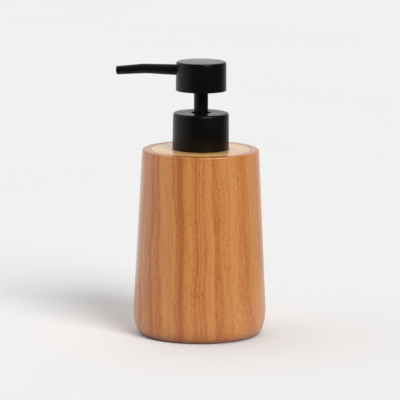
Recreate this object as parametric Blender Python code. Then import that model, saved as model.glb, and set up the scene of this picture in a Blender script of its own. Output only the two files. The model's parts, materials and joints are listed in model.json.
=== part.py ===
"""A soap pump dispenser: a turned wooden body round a plastic bottle, under a black metal-clad pump.

All sizes are in metres. Heights are measured up from the table, the pump stands on the Z axis, and the spout
points along -X. Every piece that rotates or slides does so about or along Z.
"""

from math import cos, pi, radians, sin

import bmesh
import bpy
from mathutils import Matrix, Vector

MM = 0.001
GAP = 0.3 * MM  # clearance between neighbouring pieces
MERGE = 0.001 * MM  # points closer than this are one point

# Flat sides on a full turn: of the outer pieces, of the pieces inside the pump, and of bores and rods
OUTER_SIDES = 40
INNER_SIDES = 20
ROD_SIDES = 12

# Straight steps along the curves of a turned outline
CORNER_STEPS = 3
ROUNDING_STEPS = 7

# The wooden body, its soft pad and the pale disc let into its top
BODY_FOOT = 0.3 * MM
BODY_TOP = 111.7 * MM
BODY_FOOT_RADIUS = 34.6 * MM
BODY_WIDEST_RADIUS = 39.7 * MM
BODY_WIDEST_HEIGHT = 15.0 * MM
BODY_TOP_RADIUS = 34.95 * MM
RIM_FILLET = 1.2 * MM
BORE_RADIUS = 29.9 * MM
BORE_FLOOR = 8.0 * MM
DISC_THICKNESS = 6.0 * MM
DISC_HOLE_RADIUS = 14.0 * MM
PAD_RADIUS = 30.0 * MM
PAD_THICKNESS = 1.2 * MM

# The bottle inside the wood, with a 28 mm neck finish
LINER_RADIUS = 29.4 * MM
LINER_WALL = 1.3 * MM
LINER_SHOULDER = 105.6 * MM
LINER_CORNER = 5.0 * MM
NECK_TOP = 127.3 * MM
NECK_RADIUS = 12.45 * MM
NECK_BORE = 10.9 * MM
THREAD_PITCH = 4.233 * MM
THREAD_HEIGHT = 1.1 * MM
THREAD_ROOT_WIDTH = 2.0 * MM
THREAD_CREST_WIDTH = 1.0 * MM
THREAD_SINK = 0.4 * MM  # how far a thread is sunk into the wall that carries it
THREAD_STEPS = 24  # stations on one turn of thread
THREAD_RUN_OUT = 4  # stations over which a thread fades at each end
NECK_THREAD_START = 117.4 * MM
NECK_THREAD_TURNS = 1.5
CAP_THREAD_TURNS = 1.25

# The closure
GASKET_THICKNESS = 1.0 * MM
CAP_RADIUS = 15.2 * MM
CAP_BORE = 14.1 * MM
CAP_FOOT = 112.9 * MM
CAP_PLATE = 1.2 * MM
CAP_HOLE_RADIUS = 8.6 * MM
COLLAR_FOOT = BODY_TOP + GAP
COLLAR_TOP = 133.6 * MM
COLLAR_FOOT_RADIUS = 16.9 * MM
COLLAR_TOP_RADIUS = 16.65 * MM
COLLAR_FILLET = 1.4 * MM
COLLAR_HOLE_RADIUS = 6.05 * MM
SHEET = 0.8 * MM  # wall of the metal skirt and of the head's metal cap

# The pump cylinder and what is inside it
CYLINDER_RADIUS = 7.3 * MM
CYLINDER_BORE = 6.0 * MM
CYLINDER_MOUTH_RADIUS = 8.2 * MM
CYLINDER_MOUTH_BORE = 6.9 * MM
CYLINDER_MOUTH_DEPTH = 121.0 * MM  # height of the step where the guide ring's bore ends
CYLINDER_FLANGE_RADIUS = 13.0 * MM
CYLINDER_FLANGE = 1.0 * MM
CYLINDER_FLOOR = 84.2 * MM
VALVE_CHAMBER_RADIUS = 3.3 * MM
VALVE_CHAMBER_TOP = 81.8 * MM
VALVE_SEAT_TOP = 78.4 * MM
VALVE_SEAT_RADIUS = 1.8 * MM
VALVE_SEAT_FOOT = 76.9 * MM
SOCKET_TOP = 75.4 * MM
SOCKET_FOOT = 66.0 * MM
SOCKET_WALL = 1.3 * MM
DIP_TUBE_RADIUS = 3.25 * MM
DIP_TUBE_BORE = 2.3 * MM
DIP_TUBE_FOOT = 11.5 * MM
DIP_TUBE_SLANT = 0.6  # slope of its cut end
INLET_BALL_RADIUS = 2.5 * MM
OUTLET_BALL_RADIUS = 2.4 * MM
BALL_CLEARANCE = 0.4 * MM  # height of a resting ball above the edge it closes
CAGE_RADIUS = 5.6 * MM
CAGE_THICKNESS = 1.6 * MM
CAGE_NIB = 1.6 * MM
CAGE_NIB_ROOT_RADIUS = 1.9 * MM
CAGE_NIB_TIP_RADIUS = 1.5 * MM
CAGE_HOLES = 4
CAGE_HOLE_RADIUS = 0.8 * MM
CAGE_HOLE_CIRCLE = 3.6 * MM
SPRING_RADIUS = 4.6 * MM
SPRING_WIRE = 0.5 * MM  # radius of the wire
SPRING_TURNS = 8
SPRING_STEPS = 12  # points on one turn
SPRING_END_PITCH = 1.35 * MM
GUIDE_FLANGE_RADIUS = 9.8 * MM
GUIDE_FLANGE = 0.8 * MM
GUIDE_RADIUS = 6.6 * MM
GUIDE_BORE = 4.6 * MM

# The moving stem with its piston
STEM_RADIUS = 3.6 * MM
STEM_BORE = 1.9 * MM
STEM_FOOT = 115.4 * MM
STEM_TOP = 155.0 * MM
STEM_SHOULDER_RADIUS = 4.25 * MM
STEM_SHOULDER = 1.8 * MM
STEM_PORT_RADIUS = 0.8 * MM
PISTON_FOOT = 115.5 * MM
PISTON_TOP = 120.7 * MM
PISTON_RADIUS = 5.7 * MM
PISTON_WAIST_RADIUS = 5.2 * MM
FOOT_PLUG_RADIUS = 1.55 * MM
FOOT_FLANGE_RADIUS = 5.3 * MM
FOOT_FLANGE = 1.4 * MM
FOOT_PLUG_TOP = 117.0 * MM
SLEEVE_RADIUS = 4.26 * MM
SLEEVE_BORE = 3.92 * MM
SLEEVE_FOOT = 124.0 * MM
SLEEVE_TOP = 150.3 * MM

# The press head and its spout
HEAD_FOOT = 146.9 * MM
HEAD_TOP = 164.2 * MM
HEAD_FOOT_RADIUS = 15.1 * MM
HEAD_TOP_RADIUS = 14.95 * MM
HEAD_FILLET = 1.1 * MM
CORE_RADIUS = 13.4 * MM
CORE_FLANGE = 1.2 * MM
CORE_FOOT = 147.7 * MM
CORE_TOP = HEAD_TOP - SHEET - GAP
CORE_HUB_RADIUS = 7.0 * MM
CORE_STEM_BORE = 3.9 * MM
CORE_SLEEVE_BORE = 4.6 * MM
CORE_CHAMBER_RADIUS = 2.9 * MM
CORE_CHAMBER_TOP = 161.0 * MM
CORE_BOSS_RADIUS = 4.3 * MM
CORE_BOSS_END = 13.2 * MM
CORE_CHANNEL_RADIUS = 1.5 * MM
SPOUT_HEIGHT = 158.7 * MM
SPOUT_ROOT = 7.9 * MM  # distance from the axis to the end of the spout inside the head
SPOUT_BEND = 34.8 * MM  # distance from the axis to the bend
SPOUT_REACH = 52.0 * MM  # distance from the axis to the tip
SPOUT_DROOP = radians(5.8)
SPOUT_BEND_RADIUS = 40.0 * MM
SPOUT_BEND_STEPS = 4
SPOUT_ROOT_RADIUS = 3.4 * MM
SPOUT_BEND_TUBE_RADIUS = 2.9 * MM
SPOUT_TIP_RADIUS = 2.55 * MM
SPOUT_WALL = 0.7 * MM

# Heights that follow from the ones above: the neck, gasket, flange, cap plate and guide ring are stacked
GASKET_FOOT = NECK_TOP + GAP
FLANGE_FOOT = GASKET_FOOT + GASKET_THICKNESS + GAP
FLANGE_TOP = FLANGE_FOOT + CYLINDER_FLANGE
CAP_PLATE_FOOT = FLANGE_TOP + GAP
CAP_TOP = CAP_PLATE_FOOT + CAP_PLATE
GUIDE_FLANGE_FOOT = CAP_TOP + GAP
GUIDE_TOP = GUIDE_FLANGE_FOOT + GUIDE_FLANGE
CAGE_FOOT = CYLINDER_FLOOR + GAP
SPRING_FOOT = CAGE_FOOT + CAGE_THICKNESS + GAP
FOOT_FLANGE_FOOT = STEM_FOOT - GAP - FOOT_FLANGE
SPRING_TOP = FOOT_FLANGE_FOOT - GAP

# Colour, roughness and metallic value of each finish
FINISHES = {
    "honey_wood": ((0.43, 0.17, 0.055), 0.45, 0.0),
    "pale_wood": ((0.72, 0.56, 0.36), 0.55, 0.0),
    "black_metal": ((0.012, 0.011, 0.010), 0.32, 0.6),
    "black_plastic": ((0.015, 0.015, 0.015), 0.5, 0.0),
    "natural_plastic": ((0.75, 0.76, 0.74), 0.4, 0.0),
    "black_foam": ((0.02, 0.02, 0.02), 0.9, 0.0),
    "grey_rubber": ((0.25, 0.25, 0.26), 0.7, 0.0),
    "steel": ((0.55, 0.55, 0.56), 0.25, 1.0),
}


def clear_scene():
    for obj in list(bpy.data.objects):
        bpy.data.objects.remove(obj, do_unlink=True)


def body_frame(name, parent, height):
    """An empty on the Z axis that carries one rigid body, so that its joint has something to move."""
    frame = bpy.data.objects.new(name, None)
    frame.empty_display_size = 5 * MM
    bpy.context.scene.collection.objects.link(frame)
    place(frame, parent, height)
    return frame


def place(obj, parent, height):
    """Parents obj and puts its origin on the Z axis at this height above the table."""
    obj.parent = parent
    obj.location.z = height - height_of(parent)


def height_of(obj):
    return 0.0 if obj is None else obj.location.z + height_of(obj.parent)


def finish_material(name, finish):
    colour, roughness, metallic = FINISHES[finish]
    material = bpy.data.materials.new(name)
    material.use_nodes = True
    shader = material.node_tree.nodes["Principled BSDF"]
    shader.inputs["Base Color"].default_value = (*colour, 1.0)
    shader.inputs["Roughness"].default_value = roughness
    shader.inputs["Metallic"].default_value = metallic
    return material


def piece(name, shape, finish, parent, height):
    """Turns a bmesh into a named object with its own material and smooth round faces."""
    bmesh.ops.remove_doubles(shape, verts=shape.verts, dist=MERGE)
    bmesh.ops.recalc_face_normals(shape, faces=shape.faces)
    mesh = bpy.data.meshes.new(name)
    shape.to_mesh(mesh)
    shape.free()
    mesh.shade_smooth()
    mesh.set_sharp_from_angle(angle=radians(30))
    mesh.materials.append(finish_material(name, finish))
    obj = bpy.data.objects.new(name, mesh)
    bpy.context.scene.collection.objects.link(obj)
    place(obj, parent, height)
    return obj


def arc(centre, radii, start, end, steps):
    """Points (radius, height) along an elliptical arc, between two angles in degrees."""
    angles = [radians(start + (end - start) * i / steps) for i in range(steps + 1)]
    return [(centre[0] + radii[0] * cos(a), centre[1] + radii[1] * sin(a)) for a in angles]


def turned(name, outline, finish, parent, sides=INNER_SIDES):
    """A solid turned about Z from a closed outline of (radius, height) points. Its origin is at its foot."""
    foot = min(height for _, height in outline)
    shape = bmesh.new()
    points = [shape.verts.new((radius, 0, height - foot)) for radius, height in outline]
    sides_of_outline = zip(points, points[1:] + points[:1])
    edges = [shape.edges.new(ends) for ends in sides_of_outline if ends[0].co.x + ends[1].co.x > 0]
    bmesh.ops.spin(
        shape, geom=points + edges, cent=(0, 0, 0), axis=(0, 0, 1), angle=2 * pi, steps=sides, use_merge=True
    )
    return piece(name, shape, finish, parent, foot)


def ring_outline(inner, outer, foot, top):
    """The outline of a plain ring, or of a disc where the inner radius is 0."""
    return [(outer, top), (outer, foot), (inner, foot), (inner, top)]


def skin(shape, rings):
    """Faces between neighbouring rings of points."""
    for ring, following in zip(rings, rings[1:]):
        sides = zip(ring, ring[1:] + ring[:1], following[1:] + following[:1], following)
        for corners in sides:
            shape.faces.new(corners)


def swept(name, sections, finish, parent, height):
    """A closed solid through sections, each a list of points in the same order, capped at both ends."""
    shape = bmesh.new()
    rings = [[shape.verts.new(point) for point in section] for section in sections]
    skin(shape, rings)
    shape.faces.new(rings[0])
    shape.faces.new(rings[-1])
    return piece(name, shape, finish, parent, height)


def rod(name, radius, start, end, parent, height):
    """A plain rod between two points, for joining to a piece or cutting from it."""
    along = end - start
    shape = bmesh.new()
    turn = along.to_track_quat("Z", "Y").to_matrix().to_4x4()
    bmesh.ops.create_cone(
        shape, cap_ends=True, segments=ROD_SIDES, radius1=radius, radius2=radius, depth=along.length,
        matrix=Matrix.Translation((start + end) / 2) @ turn,
    )
    return piece(name, shape, "natural_plastic", parent, height)


def combine(obj, helper, operation):
    """Joins a helper to a piece, or cuts it from the piece, and hides the helper."""
    modifier = obj.modifiers.new(helper.name, "BOOLEAN")
    modifier.operation = operation
    modifier.solver = "EXACT"
    modifier.object = helper
    helper.hide_render = True
    helper.display_type = "WIRE"


def thread(name, wall, height, start, turns, parent):
    """A helical ridge on a round wall: outwards where its height is positive, inwards where negative."""
    steps = round(turns * THREAD_STEPS)
    sink = THREAD_SINK if height > 0 else -THREAD_SINK
    sections = []
    for i in range(steps + 1):
        fade = min(1.0, (i + 1) / THREAD_RUN_OUT, (steps - i + 1) / THREAD_RUN_OUT)
        angle = 2 * pi * i / THREAD_STEPS
        middle = start + THREAD_PITCH * i / THREAD_STEPS
        root, crest = wall - sink, wall + height * fade
        half_root, half_crest = THREAD_ROOT_WIDTH / 2, THREAD_CREST_WIDTH / 2
        outline = [(root, -half_root), (crest, -half_crest), (crest, half_crest), (root, half_root)]
        sections.append([(r * cos(angle), r * sin(angle), middle + z) for r, z in outline])
    return swept(name, sections, "natural_plastic", parent, 0.0)


def wood_shell(bottle):
    foot_rounding = arc(
        (BODY_FOOT_RADIUS, BODY_WIDEST_HEIGHT),
        (BODY_WIDEST_RADIUS - BODY_FOOT_RADIUS, BODY_WIDEST_HEIGHT - BODY_FOOT), 0, -90, ROUNDING_STEPS,
    )
    rim_centre = (BODY_TOP_RADIUS - RIM_FILLET, BODY_TOP - RIM_FILLET)
    rim = arc(rim_centre, (RIM_FILLET, RIM_FILLET), 90, 0, CORNER_STEPS)
    recess_radius = PAD_RADIUS + 2 * GAP
    recess_top = PAD_THICKNESS + GAP
    outline = rim + foot_rounding + [
        (recess_radius, BODY_FOOT),
        (recess_radius, recess_top),
        (0, recess_top),
        (0, BORE_FLOOR),
        (BORE_RADIUS, BORE_FLOOR),
        (BORE_RADIUS, BODY_TOP),
    ]
    turned("wood_shell", outline, "honey_wood", bottle, OUTER_SIDES)


def top_disc(bottle):
    outline = ring_outline(DISC_HOLE_RADIUS, BORE_RADIUS - GAP, BODY_TOP - DISC_THICKNESS, BODY_TOP)
    turned("top_disc", outline, "pale_wood", bottle, OUTER_SIDES)


def base_pad(bottle):
    turned("base_pad", ring_outline(0, PAD_RADIUS, 0, PAD_THICKNESS), "black_foam", bottle, OUTER_SIDES)


def liner_bottle(bottle):
    """The bottle inside the wood: rounded at its foot and shoulder, with a threaded neck."""
    foot = BORE_FLOOR + GAP
    corner_radius = LINER_RADIUS - LINER_CORNER
    low_corner = (corner_radius, foot + LINER_CORNER)
    high_corner = (corner_radius, LINER_SHOULDER - LINER_CORNER)
    outer = (LINER_CORNER, LINER_CORNER)
    inner = (LINER_CORNER - LINER_WALL, LINER_CORNER - LINER_WALL)
    outline = [(NECK_RADIUS, NECK_TOP), (NECK_RADIUS, LINER_SHOULDER)]
    outline += arc(high_corner, outer, 90, 0, CORNER_STEPS)
    outline += arc(low_corner, outer, 0, -90, CORNER_STEPS)
    outline += [(0, foot), (0, foot + LINER_WALL)]
    outline += arc(low_corner, inner, -90, 0, CORNER_STEPS)
    outline += arc(high_corner, inner, 0, 90, CORNER_STEPS)
    outline += [(NECK_BORE, LINER_SHOULDER - LINER_WALL), (NECK_BORE, NECK_TOP)]
    liner = turned("liner_bottle", outline, "natural_plastic", bottle, OUTER_SIDES)
    ridge = thread("neck_thread", NECK_RADIUS, THREAD_HEIGHT, NECK_THREAD_START, NECK_THREAD_TURNS, bottle)
    combine(liner, ridge, "UNION")


def gasket(frame):
    outline = ring_outline(NECK_BORE, CYLINDER_FLANGE_RADIUS, GASKET_FOOT, GASKET_FOOT + GASKET_THICKNESS)
    turned("gasket", outline, "grey_rubber", frame, OUTER_SIDES)


def housing(pump):
    """The pump cylinder: its mouth and flange, then its bore, the ball's seat and the tube's socket."""
    socket_bore = DIP_TUBE_RADIUS + GAP
    socket_radius = socket_bore + SOCKET_WALL
    mouth_foot = CYLINDER_MOUTH_DEPTH - 2 * SOCKET_WALL
    outline = [
        (CYLINDER_MOUTH_RADIUS, CAP_TOP),
        (CYLINDER_MOUTH_RADIUS, FLANGE_TOP),
        (CYLINDER_FLANGE_RADIUS, FLANGE_TOP),
        (CYLINDER_FLANGE_RADIUS, FLANGE_FOOT),
        (CYLINDER_MOUTH_RADIUS, FLANGE_FOOT),
        (CYLINDER_MOUTH_RADIUS, mouth_foot),
        (CYLINDER_RADIUS, mouth_foot - GAP),
        (CYLINDER_RADIUS, CYLINDER_FLOOR - SOCKET_WALL),
        (socket_radius, VALVE_SEAT_TOP),
        (socket_radius, SOCKET_FOOT),
        (socket_bore, SOCKET_FOOT),
        (socket_bore, SOCKET_TOP),
        (VALVE_SEAT_RADIUS, SOCKET_TOP),
        (VALVE_SEAT_RADIUS, VALVE_SEAT_FOOT),
        (VALVE_CHAMBER_RADIUS, VALVE_SEAT_TOP),
        (VALVE_CHAMBER_RADIUS, VALVE_CHAMBER_TOP),
        (CYLINDER_BORE, CYLINDER_FLOOR),
        (CYLINDER_BORE, CYLINDER_MOUTH_DEPTH),
        (CYLINDER_MOUTH_BORE, CYLINDER_MOUTH_DEPTH),
        (CYLINDER_MOUTH_BORE, CAP_TOP),
    ]
    turned("housing", outline, "natural_plastic", pump)


def chaplet(pump):
    """The guide ring that closes the cylinder: a flange over the cap and a skirt inside its mouth."""
    outline = [
        (GUIDE_FLANGE_RADIUS, GUIDE_TOP),
        (GUIDE_FLANGE_RADIUS, GUIDE_FLANGE_FOOT),
        (GUIDE_RADIUS, GUIDE_FLANGE_FOOT),
        (GUIDE_RADIUS, CYLINDER_MOUTH_DEPTH + GAP),
        (GUIDE_BORE, CYLINDER_MOUTH_DEPTH + GAP),
        (GUIDE_BORE, GUIDE_TOP),
    ]
    turned("chaplet", outline, "black_plastic", pump)


def ball_cage(pump):
    """A plate over the ball's chamber, with flow holes and a nib that stops the ball."""
    outline = [
        (CAGE_RADIUS, CAGE_FOOT + CAGE_THICKNESS),
        (CAGE_RADIUS, CAGE_FOOT),
        (CAGE_NIB_ROOT_RADIUS, CAGE_FOOT),
        (CAGE_NIB_TIP_RADIUS, CAGE_FOOT - CAGE_NIB),
        (0, CAGE_FOOT - CAGE_NIB),
        (0, CAGE_FOOT + CAGE_THICKNESS),
    ]
    cage = turned("ball_cage", outline, "natural_plastic", pump)
    for i in range(CAGE_HOLES):
        angle = 2 * pi * i / CAGE_HOLES
        middle = CAGE_HOLE_CIRCLE * Vector((cos(angle), sin(angle), 0))
        reach = Vector((0, 0, 2 * CAGE_THICKNESS))
        hole = rod(f"cage_hole_{i + 1}", CAGE_HOLE_RADIUS, middle - reach, middle + reach, pump, CAGE_FOOT)
        combine(cage, hole, "DIFFERENCE")


def dip_tube(pump):
    tube_top = SOCKET_TOP - GAP
    outline = ring_outline(DIP_TUBE_BORE, DIP_TUBE_RADIUS, DIP_TUBE_FOOT, tube_top)
    tube = turned("dip_tube", outline, "natural_plastic", pump, ROD_SIDES)
    for vertex in tube.data.vertices:
        if vertex.co.z < MERGE:
            vertex.co.z += DIP_TUBE_SLANT * (vertex.co.x + DIP_TUBE_RADIUS)


def spring_height(turn):
    """Height of the wire's centre above the spring's lowest, with one close turn at each end."""
    middle_rise = SPRING_TOP - SPRING_FOOT - 2 * SPRING_WIRE - 2 * SPRING_END_PITCH
    middle_pitch = middle_rise / (SPRING_TURNS - 2)
    open_turns = min(max(turn - 1, 0), SPRING_TURNS - 2)
    close_turns = turn - open_turns
    return close_turns * SPRING_END_PITCH + open_turns * middle_pitch


def spring(pump):
    """The return spring, a wire wound round the Z axis."""
    curve = bpy.data.curves.new("spring", "CURVE")
    curve.dimensions = "3D"
    curve.bevel_depth = SPRING_WIRE
    curve.bevel_resolution = 1
    curve.use_fill_caps = True
    wire = curve.splines.new("POLY")
    steps = SPRING_TURNS * SPRING_STEPS
    wire.points.add(steps)
    for i, point in enumerate(wire.points):
        angle = 2 * pi * i / SPRING_STEPS
        rise = SPRING_WIRE + spring_height(i / SPRING_STEPS)
        point.co = (SPRING_RADIUS * cos(angle), SPRING_RADIUS * sin(angle), rise, 1)
    curve.materials.append(finish_material("spring", "steel"))
    obj = bpy.data.objects.new("spring", curve)
    bpy.context.scene.collection.objects.link(obj)
    place(obj, pump, SPRING_FOOT)


def ball(name, radius, seat_radius, seat_height, frame):
    """A valve ball that stands just clear of the round edge that it closes."""
    centre = seat_height + (radius**2 - seat_radius**2) ** 0.5 + BALL_CLEARANCE
    shape = bmesh.new()
    bmesh.ops.create_uvsphere(shape, u_segments=ROD_SIDES, v_segments=ROD_SIDES // 2, radius=radius)
    piece(name, shape, "steel", frame, centre)


def piston(plunger):
    waist_foot = PISTON_FOOT + (PISTON_TOP - PISTON_FOOT) / 4
    waist_top = PISTON_TOP - (PISTON_TOP - PISTON_FOOT) / 4
    outline = [
        (PISTON_RADIUS, PISTON_TOP),
        (PISTON_WAIST_RADIUS, waist_top),
        (PISTON_WAIST_RADIUS, waist_foot),
        (PISTON_RADIUS, PISTON_FOOT),
        (STEM_RADIUS + GAP, PISTON_FOOT),
        (STEM_RADIUS + GAP, PISTON_TOP),
    ]
    turned("piston", outline, "natural_plastic", plunger)


def stem(head):
    shoulder_foot = PISTON_TOP + GAP
    outline = [
        (STEM_RADIUS, STEM_TOP),
        (STEM_RADIUS, shoulder_foot + STEM_SHOULDER),
        (STEM_SHOULDER_RADIUS, shoulder_foot + STEM_SHOULDER - GAP),
        (STEM_SHOULDER_RADIUS, shoulder_foot),
        (STEM_RADIUS, shoulder_foot),
        (STEM_RADIUS, STEM_FOOT),
        (STEM_BORE, STEM_FOOT),
        (STEM_BORE, STEM_TOP),
    ]
    tube = turned("stem", outline, "black_plastic", head)
    port_height = (PISTON_FOOT + PISTON_TOP) / 2
    reach = Vector((2 * STEM_RADIUS, 0, 0))
    port = rod("stem_port", STEM_PORT_RADIUS, -reach, reach, head, port_height)
    combine(tube, port, "DIFFERENCE")


def stem_foot(head):
    """The plug in the stem's lower end, with the flange that holds the piston and takes the spring."""
    flange_top = FOOT_FLANGE_FOOT + FOOT_FLANGE
    outline = [
        (0, FOOT_PLUG_TOP),
        (FOOT_PLUG_RADIUS, FOOT_PLUG_TOP),
        (FOOT_PLUG_RADIUS, flange_top),
        (FOOT_FLANGE_RADIUS, flange_top),
        (FOOT_FLANGE_RADIUS, FOOT_FLANGE_FOOT),
        (0, FOOT_FLANGE_FOOT),
    ]
    turned("stem_foot", outline, "natural_plastic", head)


def stem_sleeve(head):
    outline = ring_outline(SLEEVE_BORE, SLEEVE_RADIUS, SLEEVE_FOOT, SLEEVE_TOP)
    turned("stem_sleeve", outline, "black_metal", head)


def cup_outline(foot, top, foot_radius, top_radius, fillet, hole_radius):
    """A sheet metal cup, open below, with a rounded top edge and a round hole of this radius or 0."""
    inner_top = top - SHEET
    return [
        (hole_radius, top),
        *arc((top_radius - fillet, top - fillet), (fillet, fillet), 90, 0, CORNER_STEPS),
        (foot_radius, foot),
        (foot_radius - SHEET, foot),
        (top_radius - SHEET, inner_top),
        (hole_radius, inner_top),
    ]


def collar_shell(collar):
    outline = cup_outline(
        COLLAR_FOOT, COLLAR_TOP, COLLAR_FOOT_RADIUS, COLLAR_TOP_RADIUS, COLLAR_FILLET, COLLAR_HOLE_RADIUS
    )
    turned("collar_shell", outline, "black_metal", collar, OUTER_SIDES)


def threaded_cap(collar):
    outline = [
        (CAP_HOLE_RADIUS, CAP_TOP),
        (CAP_RADIUS, CAP_TOP),
        (CAP_RADIUS, CAP_FOOT),
        (CAP_BORE, CAP_FOOT),
        (CAP_BORE, CAP_PLATE_FOOT),
        (CAP_HOLE_RADIUS, CAP_PLATE_FOOT),
    ]
    cap = turned("threaded_cap", outline, "black_plastic", collar, OUTER_SIDES)
    start = NECK_THREAD_START - THREAD_PITCH / 2
    ridge = thread("cap_thread", CAP_BORE, -THREAD_HEIGHT, start, CAP_THREAD_TURNS, collar)
    combine(cap, ridge, "UNION")


def head_shell(head):
    outline = cup_outline(HEAD_FOOT, HEAD_TOP, HEAD_FOOT_RADIUS, HEAD_TOP_RADIUS, HEAD_FILLET, 0.0)
    shell = turned("head_shell", outline, "black_metal", head, OUTER_SIDES)
    start = Vector((-CORE_HUB_RADIUS, 0, 0))
    end = Vector((-HEAD_FOOT_RADIUS - SHEET, 0, 0))
    hole = rod("spout_hole", SPOUT_ROOT_RADIUS + GAP, start, end, head, SPOUT_HEIGHT)
    combine(shell, hole, "DIFFERENCE")


def head_core(head):
    """The plastic hub inside the head: the stem's bore, the outlet ball's chamber and the spout's socket."""
    sleeve_bore_top = SLEEVE_TOP + GAP
    chamber_foot = STEM_TOP + GAP
    outline = [
        (0, CORE_TOP),
        (CORE_HUB_RADIUS, CORE_TOP),
        (CORE_HUB_RADIUS, CORE_FOOT + CORE_FLANGE),
        (CORE_RADIUS, CORE_FOOT + CORE_FLANGE),
        (CORE_RADIUS, CORE_FOOT),
        (CORE_SLEEVE_BORE, CORE_FOOT),
        (CORE_SLEEVE_BORE, sleeve_bore_top),
        (CORE_STEM_BORE, sleeve_bore_top),
        (CORE_STEM_BORE, chamber_foot),
        (CORE_CHAMBER_RADIUS, chamber_foot),
        (CORE_CHAMBER_RADIUS, CORE_CHAMBER_TOP),
        (0, CORE_CHAMBER_TOP),
    ]
    core = turned("head_core", outline, "black_plastic", head)
    joint = Vector((-(CORE_CHAMBER_RADIUS + CORE_HUB_RADIUS) / 2, 0, 0))
    boss_end = Vector((-CORE_BOSS_END, 0, 0))
    socket_end = Vector((-SPOUT_ROOT + GAP, 0, 0))
    outside = Vector((-CORE_BOSS_END - SHEET, 0, 0))
    boss = rod("spout_boss", CORE_BOSS_RADIUS, joint, boss_end, head, SPOUT_HEIGHT)
    combine(core, boss, "UNION")
    socket = rod("spout_socket", SPOUT_ROOT_RADIUS + GAP, socket_end, outside, head, SPOUT_HEIGHT)
    combine(core, socket, "DIFFERENCE")
    channel = rod("spout_channel", CORE_CHANNEL_RADIUS, Vector((0, 0, 0)), outside, head, SPOUT_HEIGHT)
    combine(core, channel, "DIFFERENCE")


def spout_stations():
    """Centre, droop angle and radius of the spout's sections, from its root to its tip."""
    bend_half = SPOUT_BEND_RADIUS * SPOUT_DROOP / 2
    bend_start = SPOUT_BEND - bend_half
    stations = [(Vector((-SPOUT_ROOT, 0, 0)), 0.0, SPOUT_ROOT_RADIUS)]
    for i in range(SPOUT_BEND_STEPS + 1):
        droop = SPOUT_DROOP * i / SPOUT_BEND_STEPS
        along, down = SPOUT_BEND_RADIUS * sin(droop), SPOUT_BEND_RADIUS * (1 - cos(droop))
        centre = Vector((-bend_start - along, 0, -down))
        stations.append((centre, droop, SPOUT_BEND_TUBE_RADIUS))
    bend_end = stations[-1][0]
    run = (SPOUT_REACH + bend_end.x) / cos(SPOUT_DROOP)
    tip = bend_end + Vector((-run * cos(SPOUT_DROOP), 0, -run * sin(SPOUT_DROOP)))
    return stations + [(tip, SPOUT_DROOP, SPOUT_TIP_RADIUS)]


def spout_ring(centre, droop, radius):
    """Points round one section of the spout, square to its run."""
    upright = Vector((-sin(droop), 0, cos(droop)))
    sideways = Vector((0, 1, 0))
    angles = [2 * pi * i / INNER_SIDES for i in range(INNER_SIDES)]
    return [centre + radius * (cos(a) * sideways + sin(a) * upright) for a in angles]


def spout_tube(head):
    """A tapered hollow tube: the skins outside and inside are one closed loop of rings."""
    stations = spout_stations()
    outside = [spout_ring(centre, droop, radius) for centre, droop, radius in stations]
    inside = [spout_ring(centre, droop, radius - SPOUT_WALL) for centre, droop, radius in stations]
    shape = bmesh.new()
    rings = [[shape.verts.new(point) for point in ring] for ring in outside + inside[::-1]]
    skin(shape, rings + rings[:1])
    piece("spout_tube", shape, "black_metal", head, SPOUT_HEIGHT)


def main():
    clear_scene()
    bottle = body_frame("bottle_frame", None, 0.0)
    seal = body_frame("gasket_frame", bottle, GASKET_FOOT)
    pump = body_frame("pump_frame", seal, FLANGE_FOOT)
    collar = body_frame("collar_frame", pump, COLLAR_FOOT)
    plunger = body_frame("plunger_frame", pump, PISTON_FOOT)
    head = body_frame("head_frame", plunger, HEAD_FOOT)
    inlet_valve = body_frame("inlet_valve_frame", pump, VALVE_SEAT_FOOT)
    outlet_valve = body_frame("outlet_valve_frame", head, STEM_TOP)
    for make in (wood_shell, top_disc, base_pad, liner_bottle):
        make(bottle)
    gasket(seal)
    for make in (housing, chaplet, ball_cage, dip_tube, spring):
        make(pump)
    for make in (collar_shell, threaded_cap):
        make(collar)
    piston(plunger)
    for make in (stem, stem_foot, stem_sleeve, head_shell, head_core, spout_tube):
        make(head)
    ball("inlet_ball", INLET_BALL_RADIUS, VALVE_SEAT_RADIUS, VALVE_SEAT_FOOT, inlet_valve)
    ball("outlet_ball", OUTLET_BALL_RADIUS, STEM_BORE, STEM_TOP, outlet_valve)


main()
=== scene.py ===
"""Looks for the soap pump dispenser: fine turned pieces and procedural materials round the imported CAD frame.

Sizes are in metres in the row frame: +Z up, the pump on the Z axis, the spout along -X.
"""

import json
from math import cos, pi, radians, sin, tan

import bmesh
import bpy
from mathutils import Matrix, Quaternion, Vector

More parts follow.
